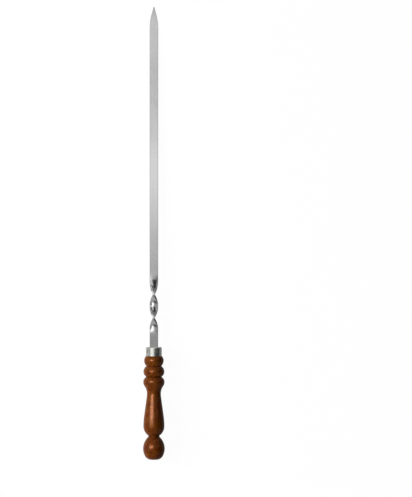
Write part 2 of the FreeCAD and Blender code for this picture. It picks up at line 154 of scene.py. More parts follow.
class BladeSizes(PropertyGroup):
    """Flat bar, its twist and its point."""
    width: length("Width", "Width of the bar", 0.0120)
    thickness: length("Thickness", "Thickness of the bar", 0.0030)
    easing: length("Easing", "Softened corners of the bar", 0.0004)
    edge_rounding: length("Edge rounding", "Softness of those corners", 0.00027)
    shank: length("Shank", "Flat between the cap and the twist", 0.0197)
    twist: length("Twist", "Length of the twist", 0.0864)
    twist_angle: angle("Twist angle", "Whole turn of the twist", 360.0)
    run_out: length("Run-out", "Twist easing off towards the handle", 0.0110)
    run_in: length("Run-in", "Twist easing off towards the point", 0.0270)
    flat: length("Flat", "Length that holds the food", 0.3497)
    shoulder_run: length("Point shoulder", "Rounded start of the point", 0.0180)
    root_width: length("Point root", "Width where the straight sides start", 0.0082)
    root_thickness: length("Point root thickness", "Thickness there", 0.0024)
    side_run: length("Straight sides", "Sides thinning slowly to the nose", 0.0088)
    nose_width: length("Nose width", "Width where the nose starts", 0.0031)
    nose_thickness: length("Nose thickness", "Thickness there", 0.0018)
    nose_run: length("Nose run", "Nose down to the tip, thinning faster", 0.0049)
    tip_width: length("Tip width", "Blunted tip", 0.0009)
    tip_thickness: length("Tip thickness", "Blunted tip", 0.0010)
    tip_easing: length("Tip easing", "Softened corners of the tip", 0.0003)
    tang: length("Tang", "Length hidden in the handle", 0.0900)
    tang_width: length("Tang width", "Width at the shoulders", 0.0070)
    tang_end: length("Tang end", "Width at its end", 0.0040)


class Finishes(PropertyGroup):
    """Colours and gloss of the materials."""
    wood: colour("Stain", "Red-brown stain on the wood", (0.168, 0.025, 0.0012))
    wood_light: colour("Light grain", "Where the stain took less", (0.290, 0.082, 0.0065))
    # The dark grain colour is also painted into the grooves, the neck and against the cap as shade
    wood_dark: colour("Dark grain", "Pores, rays and pooled stain", (0.030, 0.006, 0.0015))
    wood_gloss: share("Lacquer roughness", "Roughness of the lacquer", 0.30)
    steel: colour("Steel", "Brushed stainless bar", (0.556, 0.553, 0.555))
    steel_gloss: share("Steel roughness", "Roughness of the brushed bar", 0.17)
    plating: colour("Plating", "Bright nickel", (0.78, 0.78, 0.75))
    plating_gloss: share("Plating roughness", "Roughness of the plating", 0.20)
    resin: colour("Resin", "Cured resin round the tang", (0.50, 0.42, 0.26))


class Studio(PropertyGroup):
    """Camera, lights and floor."""
    camera_height: length("Camera height", "Above the skewer's axis", 5.0)
    camera_ahead: length("Camera ahead", "Along the skewer from the butt", 0.3024)
    camera_aside: length("Camera aside", "To the right of the skewer", 0.0746)
    lens: FloatProperty(name="Lens", description="Focal length in millimetres", default=252.95)
    walls: amount("Walls", "Radiance of the grey walls round the table", 0.50)
    key: amount("Key", "Radiance that the softbox on the left adds to the walls", 1.0)
    core: amount("Key's core", "Radiance added at the middle of the softbox", 2.0)
    strip: amount("Strip", "Radiance of the strip that the lacquer mirrors", 16.0)
    head: amount("Head", "Radiance added beyond the point, on the right", 0.55)
    side: amount("Side", "Radiance added low at the far left", 0.35)
    flag: share("Black flag", "How much the flag on the right holds back", 0.92)
    slot: share("Gap", "How dark the gaps beside and behind the softbox are", 0.75)
    dip: share("Dip", "How much darker the walls are straight above and at the left", 0.2)
    wash: amount("Wash", "Radiance of the broad soft light from the left", 2.6)
    soft: share("Ambient", "Share of the surroundings' light that matt surfaces get", 0.04)
    top: amount("Top panel", "Radiance of the brightest panel above the blade", 0.74)
    floor_left: amount("Floor, left", "Light that the floor sends back at the left", 0.50)
    floor_right: amount("Floor, right", "Light that the floor sends back at the right", 0.22)


# Mesh helpers

def arc_size(run, rise):
    """Radius of an arc that leaves level and rises this much over this run."""
    return (run ** 2 + rise ** 2) / (2 * rise)


class Outline:
    """Half outline of a turned piece, swept point by point above the skewer's axis."""

    def __init__(self, bm, x, r):
        self.bm = bm
        self.tip = bm.verts.new((x, r, 0.0))
        self.corners = []

    def line(self, x, r):
        self.tip = bmesh.ops.extrude_vert_indiv(self.bm, verts=[self.tip])["verts"][0]
        self.tip.co = (x, r, 0.0)

    def lines(self, x, r, steps):
        """A straight run in equal steps, so that it can be dented afterwards."""
        old_x, old_r, _ = self.tip.co
        for step in range(1, steps + 1):
            self.line(old_x + (x - old_x) * step / steps, old_r + (r - old_r) * step / steps)

    def arc(self, centre_x, centre_r, turn, step=ARC_STEP):
        """Swings the tip about a centre. A positive turn is from +X towards the radius."""
        centre = Vector((centre_x, centre_r, 0.0))
        reach = (self.tip.co - centre).length * abs(turn)
        swung = bmesh.ops.spin(self.bm, geom=[self.tip], cent=centre, axis=(0, 0, 1), angle=turn,
                               steps=max(4, round(reach / step)), use_duplicate=False)
        self.tip = verts_of(swung["geom_last"])[0]

    def hill(self, run, radius):
        """A quarter-like arc between a highest point and a lower one, ahead or behind it."""
        x, r = self.tip.co.x, self.tip.co.y
        size = arc_size(run, abs(radius - r))
        swing = math.asin(run / size)
        if radius > r:
            self.arc(x + run, radius - size, -swing)
        else:
            self.arc(x, r - size, -swing)
        self.tip.co = (x + run, radius, 0.0)

    def blunt_hill(self, run, end_radius, radius, rounding):
        """A flat end, its rounding, and an arc on to a highest point ahead."""
        x = self.tip.co.x
        size = arc_size(run, radius - end_radius)
        across = math.sqrt((size - rounding) ** 2 - (run - rounding) ** 2)
        self.line(x, radius - size + across)
        turned = math.atan2(across, run - rounding)
        self.arc(x + rounding, radius - size + across, -turned, BUTT_STEP)
        self.arc(x + run, radius - size, turned - math.pi / 2)
        self.tip.co = (x + run, radius, 0.0)

    def corner(self):
        self.corners.append(self.tip)

    def grip_taper(self, run, radius, crown_share, waist_share):
        """A crown, a straight taper and a hollow, each tangent to the next."""
        x, r = self.tip.co.x, self.tip.co.y
        drop = r - radius
        both = arc_size(run, drop)
        crown, waist = crown_share * both, waist_share * both
        joined = crown + waist
        lean = math.atan2(run, joined - drop) - math.acos(joined / math.hypot(run, joined - drop))
        self.arc(x, r - crown, -lean)
        self.line(x + run - waist * math.sin(lean), radius + waist * (1 - math.cos(lean)))
        self.arc(x + run, radius + waist, lean)
        self.tip.co = (x + run, radius, 0.0)

    def bead_climb(self, run, radius, crown_share):
        """A hollow that runs up into a bead's crown."""
        x, r = self.tip.co.x, self.tip.co.y
        both = arc_size(run, radius - r)
        crown = crown_share * both
        lean = 2 * math.atan2(radius - r, run)
        self.arc(x, r + both - crown, lean)
        self.arc(x + run, radius - crown, -lean)
        self.tip.co = (x + run, radius, 0.0)


def soften(bm, parts, offset, segments, affect="EDGES"):
    bmesh.ops.bevel(bm, geom=parts, offset=offset, offset_type="OFFSET", segments=segments,
                    profile=0.5, affect=affect, material=-1, clamp_overlap=affect == "EDGES")


def verts_of(parts):
    return [part for part in parts if isinstance(part, bmesh.types.BMVert)]


def close_ring(bm, steps):
    """Spins the outline into a closed turned shell about the skewer's axis."""
    bmesh.ops.spin(bm, geom=bm.verts[:] + bm.edges[:], cent=(0, 0, 0), axis=(1, 0, 0),
                   angle=math.tau, steps=steps, use_merge=True, use_duplicate=False)
    bmesh.ops.remove_doubles(bm, verts=bm.verts[:], dist=SAME_POINT)


LIPS_FELT = 8.0  # how many softnesses of the lip away the punch is still felt


def press_dent(verts, size, below):
    """Presses the punch's round nose into the cap's side, or into what lies this far below it."""
    out = size.outside / 2 + size.dent_nose - size.dent_depth
    nose = Vector((CAP_LOW.x + size.dent_ahead, out * math.sin(size.dent_turn),
                   out * math.cos(size.dent_turn)))
    for vert in verts:
        away = vert.co - nose
        inside = (size.dent_nose + below - away.length) / size.dent_lip
        if inside > -LIPS_FELT:
            vert.co += away.normalized() * size.dent_lip * math.log1p(math.exp(inside))


def make_object(name, data):
    made = bpy.data.objects.new(name, data)
    bpy.context.scene.collection.objects.link(made)
    return made


def make_mesh_object(bm, name, material):
    mesh = bpy.data.meshes.new(name)
    bm.to_mesh(mesh)
    bm.free()
    mesh.materials.append(material)
    return make_object(name, mesh)


def make_piece(bm, name, node, material, sharp_degrees=32.0):
    """Turns the bmesh into the object that stands for a CAD node."""
    bmesh.ops.recalc_face_normals(bm, faces=bm.faces[:])
    piece = make_mesh_object(bm, name, material)
    piece.data.shade_smooth()
    piece.data.set_sharp_from_angle(angle=math.radians(sharp_degrees))
    flats = piece.modifiers.new("keep_flats", "WEIGHTED_NORMAL")
    flats.keep_sharp = True
    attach(piece, "root")
    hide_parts(node)


# Node helpers: each works in the tree of the sockets that it is given

def put(value, socket):
    """Joins a node's output to a socket, or sets a plain value on it."""
    if isinstance(value, NodeSocket):
        socket.id_data.links.new(value, socket)
    else:
        socket.default_value = value


def fill(node, **inputs):
    """Puts values in a node's inputs. Underscores in the names stand for spaces."""
    for name, value in inputs.items():
        put(value, node.inputs[name.replace("_", " ")])
    return node


def new_node(tree, kind, **inputs):
    return fill(tree.nodes.new(kind), **inputs)


def sums(operation, *values):
    """One sum of a Math node, on plain values or other nodes' outputs."""
    tree = next(value.id_data for value in values if isinstance(value, NodeSocket))
    node = tree.nodes.new("ShaderNodeMath")
    node.operation = operation
    for value, socket in zip(values, node.inputs):
        put(value, socket)
    return node.outputs[0]


def times(a, b):
    return sums("MULTIPLY", a, b)


def chain(operation, values):
    """Works one sum through a row of values, from the first to the last."""
    total, *others = values
    for value in others:
        total = sums(operation, total, value)
    return total


def weigh(value, *parts):
    """Adds masks to a value, each with its own weight."""
    for mask, weight in parts:
        value = sums("MULTIPLY_ADD", mask, weight, value)
    return value


def spread(value, low, high, to_low=0.0, to_high=1.0, smooth=False):
    """Maps a value from one span to another, held at both ends."""
    node = new_node(value.id_data, "ShaderNodeMapRange", Value=value, From_Min=low,
                    From_Max=high, To_Min=to_low, To_Max=to_high)
    node.interpolation_type = "SMOOTHSTEP" if smooth else "LINEAR"
    return node.outputs["Result"]


def mix_colours(factor, a, b):
    node = new_node(factor.id_data, "ShaderNodeMix", Factor=factor)
    node.data_type = "RGBA"
    sockets = [socket for socket in node.inputs if socket.type == "RGBA"]
    for value, socket in zip((a, b), sockets):
        put(value if isinstance(value, NodeSocket) else (*value, 1.0), socket)
    return next(socket for socket in node.outputs if socket.type == "RGBA")


def place(coords, scale=(1, 1, 1), shift=(0, 0, 0), turn=(0, 0, 0)):
    return new_node(coords.id_data, "ShaderNodeMapping", Vector=coords, Scale=scale,
                    Location=shift, Rotation=turn).outputs["Vector"]


def noise(coords, scale, detail, roughness=0.5, distortion=0.0):
    return new_node(coords.id_data, "ShaderNodeTexNoise", Vector=coords, Scale=scale,
                    Detail=detail, Roughness=roughness, Distortion=distortion).outputs["Fac"]


def drawn_noise(coords, along, across, detail, roughness=0.5):
    """Noise with one scale along the skewer and another across it."""
    return noise(place(coords, (along, across, across)), 1.0, detail, roughness)


def split(coords):
    return new_node(coords.id_data, "ShaderNodeSeparateXYZ", Vector=coords).outputs


# Shared patterns

def new_group(name, result, **numbers):
    """A node group that reads a vector and numbers and puts out one value. Returns its inputs
    and the socket that takes the value."""
    tree = bpy.data.node_groups.new(name, "ShaderNodeTree")
    tree.interface.new_socket("Vector", in_out="INPUT", socket_type="NodeSocketVector")
    for title, default in numbers.items():
        number = tree.interface.new_socket(title, in_out="INPUT", socket_type="NodeSocketFloat")
        number.default_value = default
    tree.interface.new_socket(result, in_out="OUTPUT", socket_type="NodeSocketFloat")
    start, end = tree.nodes.new("NodeGroupInput"), tree.nodes.new("NodeGroupOutput")
    return start.outputs, end.inputs[result]


def make_scratch_group(name):
    """Hair scratches: thin lines in a few directions, broken up along their length."""
    given, out = new_group(name, "Mask", Scale=120.0, Amount=0.5)
    lines = []
    for index, (lean, stretch) in enumerate(((0.35, 26.0), (-0.6, 20.0), (1.2, 32.0))):
        turned = place(given["Vector"], (1.0, stretch, stretch),
                       (0.37 * index, 0.11 * index, 0.0), (0.3 * index, 0.2 * index, lean))
        line = noise(turned, given["Scale"], 1.0)
        off = sums("ABSOLUTE", sums("SUBTRACT", line, 0.5))
        moved = place(given["Vector"], shift=(1.7 * index, 0, 0))
        gate = noise(moved, times(given["Scale"], 2.0), 1.0)
        lines.append(times(spread(off, 0.0, 0.012, 1.0, 0.0), spread(gate, 0.52, 0.62)))
    put(times(chain("MAXIMUM", lines), given["Amount"]), out)


def make_smudge_group(name):
    """Handling smudges: soft cloudy patches with a little grit in them."""
    given, out = new_group(name, "Mask", Scale=60.0, Amount=0.5)
    cloud = noise(given["Vector"], given["Scale"], 4.0, 0.6, 0.6)
    grit = noise(given["Vector"], times(given["Scale"], 14.0), 2.0)
    mask = times(spread(cloud, 0.42, 0.66, smooth=True), spread(grit, 0.2, 0.8, 0.6, 1.0))
    put(times(mask, given["Amount"]), out)


def make_ring_group(name):
    """Tool rings round the skewer's axis: uneven fine lines that follow X alone."""
    given, out = new_group(name, "Height", Pitch=0.0005, Unevenness=0.6)
    turns = sums("DIVIDE", split(given["Vector"])["X"], given["Pitch"])
    line = new_node(turns.id_data, "ShaderNodeCombineXYZ", X=turns).outputs["Vector"]
    fine = noise(line, 1.0, 2.0, 0.7)
    broad = noise(line, 0.12, 2.0)
    kept = sums("SUBTRACT", 1.0, given["Unevenness"])
    weight = weigh(kept, (spread(broad, 0.35, 0.65), given["Unevenness"]))
    put(times(fine, weight), out)


SHARED_GROUPS = {
    "hair_scratches": make_scratch_group,
    "handling_smudges": make_smudge_group,
    "turned_rings": make_ring_group,
}


def use_group(name, coords, **numbers):
    """Places a shared group in a material, and makes the group first if it isn't there."""
    if name not in bpy.data.node_groups:
        SHARED_GROUPS[name](name)
    node = coords.id_data.nodes.new("ShaderNodeGroup")
    node.node_tree = bpy.data.node_groups[name]
    return fill(node, Vector=coords, **numbers).outputs[0]


# Materials

def new_material(name):
    """A material with its shader and its object coordinates."""
    material = bpy.data.materials.new(name)
    material.use_nodes = True
    nodes = material.node_tree.nodes
    shader = next(node for node in nodes if node.type == "BSDF_PRINCIPLED")
    return material, shader, nodes.new("ShaderNodeTexCoord").outputs["Object"]


def dress(shader, base, gloss, *layers):
    """Gives a shader its colour, its roughness and its bumps, each laid on the one before it.
    A bump is a height and its distance, negative for what is sunk in."""
    normal = None
    for height, distance in layers:
        if distance < 0.0:
            height = times(height, -1.0)
        node = new_node(shader.id_data, "ShaderNodeBump", Height=height, Distance=abs(distance))
        if normal is not None:
            fill(node, Normal=normal)
        normal = node.outputs["Normal"]
    fill(shader, Base_Color=base, Roughness=gloss, Normal=normal)


def tinted(paint, red, green, blue):
    """A colour with its parts multiplied."""
    return tuple(part * by for part, by in zip(paint, (red, green, blue)))


PITH = (0.0, 0.019, 0.031)  # from the wood's pith to the skewer's axis
RINGS = 520.0  # growth rings in a metre
BEADS_FADE = 0.014  # length over which the wood gets lighter towards the beads
BEADS_LIGHTER = 0.32  # share of the light grain that the beads get


def stained_wood(finish, waist, shade_spots):
    """Turned beech, stained red-brown and lacquered, with shade painted into its grooves, its neck
    and against the cap.
    """
    material, shader, coords = new_material("stained_wood")
    x = split(coords)["X"]

    # Growth rings about a pith that lies outside the handle, wavering along the grain
    waver = drawn_noise(coords, 9.0, 40.0, 3.0)
    sides = split(place(coords, shift=PITH))
    squares = sums("ADD", sums("POWER", sides["Y"], 2.0), sums("POWER", sides["Z"], 2.0))
    season = sums("FRACT", weigh(0.0, (sums("SQRT", squares), RINGS), (waver, 2.4)))
    late = times(spread(season, 0.45, 0.93, smooth=True), spread(season, 0.93, 1.0, 1.0, 0.0))

    # Fibres and pores drawn out along the grain, and the short dark flecks of the rays
    fibre = drawn_noise(coords, 60.0, 2600.0, 3.0, 0.65)
    streak = drawn_noise(coords, 16.0, 420.0, 4.0, 0.6)
    fleck = spread(drawn_noise(coords, 420.0, 3600.0, 1.0), 0.64, 0.74)
    cloud = drawn_noise(coords, 90.0, 150.0, 3.0, 0.55)

    tone = weigh(0.0, (streak, 0.75), (cloud, 0.80), (late, -0.18))
    base = mix_colours(spread(tone, 0.58, 0.87), finish.wood, finish.wood_light)
    beads = spread(x, waist, waist + BEADS_FADE, 0.0, BEADS_LIGHTER, smooth=True)
    base = mix_colours(beads, base, finish.wood_light)
    grain = sums("MAXIMUM", times(fleck, 0.55), spread(fibre, 0.56, 0.80, 0.0, 0.55))
    base = mix_colours(grain, base, finish.wood_dark)

    # Painted shade: the dark grain colour laid in the grooves, the neck and against the cap
    near = [spread(sums("ABSOLUTE", sums("SUBTRACT", x, at)), 0.0, reach, 1.0, 0.0, smooth=True)
            for at, reach in shade_spots]
    groove_shade = times(chain("MAXIMUM", near), spread(cloud, 0.3, 0.7, 0.45, 0.8))
    base = mix_colours(groove_shade, base, finish.wood_dark)

    smudge = use_group("handling_smudges", coords, Scale=85.0, Amount=1.0)
    rings = use_group("turned_rings", coords, Pitch=0.0006, Unevenness=0.8)
    swell = drawn_noise(coords, 180.0, 330.0, 2.0)
    gloss = weigh(finish.wood_gloss, (smudge, 0.12), (grain, 0.10))
    fill(shader, IOR=1.5, Specular_Tint=(1.0, 0.27, 0.03, 1.0), Coat_Weight=0.20,
         Coat_Roughness=0.24)
    dress(shader, base, gloss, (swell, 0.00005), (rings, 0.00004), (grain, -0.00003))
    return material


def blade_steel(finish, twist_start, twist_end):
    """Flat stainless bar, brushed along its length and burnished where it was twisted."""
    material, shader, coords = new_material("blade_steel")
    steel, plain_gloss = finish.steel, finish.steel_gloss
    x = split(coords)["X"]
    brushed = drawn_noise(coords, 14.0, 5200.0, 3.0, 0.7)
    drawn = drawn_noise(coords, 4.0, 900.0, 3.0)
    cloud = drawn_noise(coords, 30.0, 90.0, 4.0, 0.6)
    scratch = use_group("hair_scratches", coords, Scale=26.0, Amount=0.7)
    smudge = use_group("handling_smudges", coords, Scale=45.0, Amount=1.0)
    worked = times(spread(x, twist_start - 0.004, twist_start + 0.006, smooth=True),
                   spread(x, twist_end - 0.012, twist_end + 0.004, 1.0, 0.0, smooth=True))

    tint = spread(weigh(0.0, (brushed, 0.5), (drawn, 0.5)), 0.3, 0.7)
    base = mix_colours(tint, tinted(steel, 0.88, 0.88, 0.88), steel)
    warm = tinted(steel, 0.93, 0.91, 0.87)
    base = mix_colours(times(spread(cloud, 0.5, 0.75), 0.20), base, warm)
    base = mix_colours(times(worked, 0.8), base, tinted(steel, 1.28, 1.28, 1.28))
    gloss = weigh(spread(brushed, 0.3, 0.7, plain_gloss - 0.02, plain_gloss + 0.02),
                  (smudge, 0.08), (worked, -0.03), (scratch, -0.08))
    fill(shader, Metallic=1.0)
    dress(shader, base, gloss, (brushed, 0.000005), (cloud, 0.000015), (scratch, -0.000006))
    return material


def plated_steel(finish):
    """Drawn cap with bright nickel plating, lightly scuffed."""
    material, shader, coords = new_material("plated_steel")
    scratch = use_group("hair_scratches", coords, Scale=45.0, Amount=1.0)
    smudge = use_group("handling_smudges", coords, Scale=150.0, Amount=1.0)
    rings = use_group("turned_rings", coords, Pitch=0.00018, Unevenness=0.5)
    ripple = drawn_noise(coords, 160.0, 160.0, 2.0)
    warm = tinted(finish.plating, 0.92, 0.90, 0.82)
    base = mix_colours(times(smudge, 0.6), finish.plating, warm)
    gloss = weigh(finish.plating_gloss, (smudge, 0.10), (scratch, 0.12))
    fill(shader, Metallic=1.0)
    dress(shader, base, gloss, (ripple, 0.00010), (rings, 0.000006), (scratch, -0.00001))
    return material


def cured_resin(finish):
    """Cast resin with trapped air and a wavy top."""
    material, shader, coords = new_material("cured_resin")
    resin = finish.resin
    deep = tinted(resin, 0.6, 0.6, 0.6)
    cloud = drawn_noise(coords, 90.0, 220.0, 4.0)
    pores = new_node(coords.id_data, "ShaderNodeTexVoronoi", Vector=coords, Scale=1400.0)
    bubble = spread(pores.outputs["Distance"], 0.12, 0.26, 1.0, 0.0)
    base = mix_colours(spread(cloud, 0.35, 0.7), deep, resin)
    base = mix_colours(times(bubble, 0.5), base, deep)
    gloss = spread(cloud, 0.3, 0.7, 0.30, 0.45)
    dress(shader, base, gloss, (cloud, 0.0003), (bubble, -0.0001))
    return material


def handle_places(size):
    """Where along the handle the neck, the waist, both grooves and the cap's seat are."""
    neck = size.ball_back + size.ball_front + size.neck_run / 2
    waist = neck + size.neck_run / 2 + size.grip_back + size.grip_front
    rear = waist + size.rear_bead_back + size.rear_bead_front
    front = rear + size.middle_bead_back + size.middle_bead_front
    return neck, waist, rear, front, front + size.front_bead_back + size.front_bead_front


# How far the painted shade reaches from the neck, the grooves and the cap's seat
NECK_SHADE = 0.0030
GROOVE_SHADE = 0.0017
SEAT_SHADE = 0.0016


# Operators

class SKEWER_OT_handle(Operator):
    """Turns the handle: ball, neck, grip, waist, three beads and the tenon with its bore"""
    bl_idname = "skewer.handle"
    bl_label = "Turned handle"

    def execute(self, context):
        size = context.scene.skewer_handle
        cap = context.scene.skewer_cap
        bm = bmesh.new()
        outline = Outline(bm, 0.0, 0.0)
        outline.blunt_hill(size.ball_back, size.butt / 2, size.ball / 2, size.butt_rounding)
        outline.hill(size.ball_front, size.neck / 2)
        outline.corner()
        outline.line(outline.tip.co.x + size.neck_run, size.neck / 2)
        outline.corner()
        outline.hill(size.grip_back, size.grip / 2)
        outline.grip_taper(size.grip_front, size.waist / 2, size.grip_crown, size.waist_hollow)
        outline.bead_climb(size.rear_bead_back, size.rear_bead / 2, size.rear_bead_crown)
        outline.hill(size.rear_bead_front, size.rear_groove / 2)
        outline.corner()
        outline.hill(size.middle_bead_back, size.middle_bead / 2)
        outline.hill(size.middle_bead_front, size.front_groove / 2)
        outline.corner()
        outline.hill(size.front_bead_back, size.front_bead / 2)
        outline.hill(size.front_bead_front, size.shoulder / 2)
        shoulder = outline.tip.co.x
        tenon = cap.outside / 2 - cap.wall
        end = CAP_HIGH.x - cap.wall
        outline.line(shoulder, tenon)
        outline.lines(end, tenon, TENON_ROWS)
        outline.line(end, size.bore / 2)
        outline.line(end - size.bore_depth, size.bore / 2)
        outline.line(end - size.bore_depth, 0.0)
        soften(bm, outline.corners, size.groove_rounding, 4, "VERTICES")
        close_ring(bm, HANDLE_TURN)
        press_dent([vert for vert in bm.verts if vert.co.x > shoulder + SAME_PLACE], cap, cap.wall)
        neck, waist, rear, front, seat = handle_places(size)
        shade_spots = ((neck, NECK_SHADE), (rear, GROOVE_SHADE), (front, GROOVE_SHADE), (seat, SEAT_SHADE))
        material = stained_wood(context.scene.skewer_finishes, waist, shade_spots)
        make_piece(bm, "turned_handle", "handle", material, sharp_degrees=50.0)
        return {"FINISHED"}


class SKEWER_OT_cap(Operator):
    """Draws the ferrule cap, stakes its dent and cuts the slot for the blade"""
    bl_idname = "skewer.cap"
    bl_label = "Ferrule cap"
    end_ring = 0.75  # share of the radius at which a ring of edges goes round the slot

    def execute(self, context):
        size = context.scene.skewer_cap
        blade = context.scene.skewer_blade
        radius = size.outside / 2
        bm = bmesh.new()
        outline = Outline(bm, CAP_LOW.x, radius)
        outline.lines(CAP_HIGH.x - size.rounding, radius, CAP_ROWS)
        outline.arc(CAP_HIGH.x - size.rounding, radius - size.rounding, -math.pi / 2, CORNER_STEP)
        outline.line(CAP_HIGH.x, radius * self.end_ring)
        outline.line(CAP_HIGH.x, 0.0)
        close_ring(bm, CAP_TURN)
        bmesh.ops.recalc_face_normals(bm, faces=bm.faces[:])
        press_dent(bm.verts, size, 0.0)
        self.cut_slot(bm, size, blade)
        walls = bmesh.ops.solidify(bm, geom=bm.faces[:], thickness=size.wall)
        if not walls["geom"]:
            raise RuntimeError("the cap's sheet got no thickness")
        bmesh.ops.remove_doubles(bm, verts=bm.verts[:], dist=SAME_POINT)
        rims = [edge for edge in bm.edges if len(edge.link_faces) == 2
                and edge.calc_face_angle(0.0) > math.radians(60)]
        soften(bm, rims, size.rim_rounding, 2)
        material = plated_steel(context.scene.skewer_finishes)
        make_piece(bm, "ferrule_cap", "ferrule", material)
        return {"FINISHED"}

    def end_faces(self, bm):
        return [face for face in bm.faces if face.normal.x > 0.999]

    def cut_slot(self, bm, size, blade):
        """Cuts the bar's outline, with its softened corners and its gap, through the cap's end."""
        y = blade.width / 2 + size.slot_gap
        z = blade.thickness / 2 + size.slot_gap
        corner = y - blade.easing
        cuts = [(side * Vector((0, *spot)), side * Vector((0, *way)).normalized())
                for spot, way in (((y, 0), (1, 0)), ((0, z), (0, 1)),
                                  ((corner, z), (1, 1)), ((corner, -z), (1, -1)))
                for side in (1, -1)]
        for spot, normal in cuts:
            parts = dict.fromkeys(part for face in self.end_faces(bm)
                                  for part in (face, *face.edges, *face.verts))
            bmesh.ops.bisect_plane(bm, geom=list(parts), dist=1e-7, plane_co=spot, plane_no=normal)
        hole = [face for face in self.end_faces(bm)
                if all((face.calc_center_median() - spot).dot(normal) < 0 for spot, normal in cuts)]
        if not hole:
            raise RuntimeError("the cap's slot was not found")
        bmesh.ops.delete(bm, geom=hole, context="FACES")


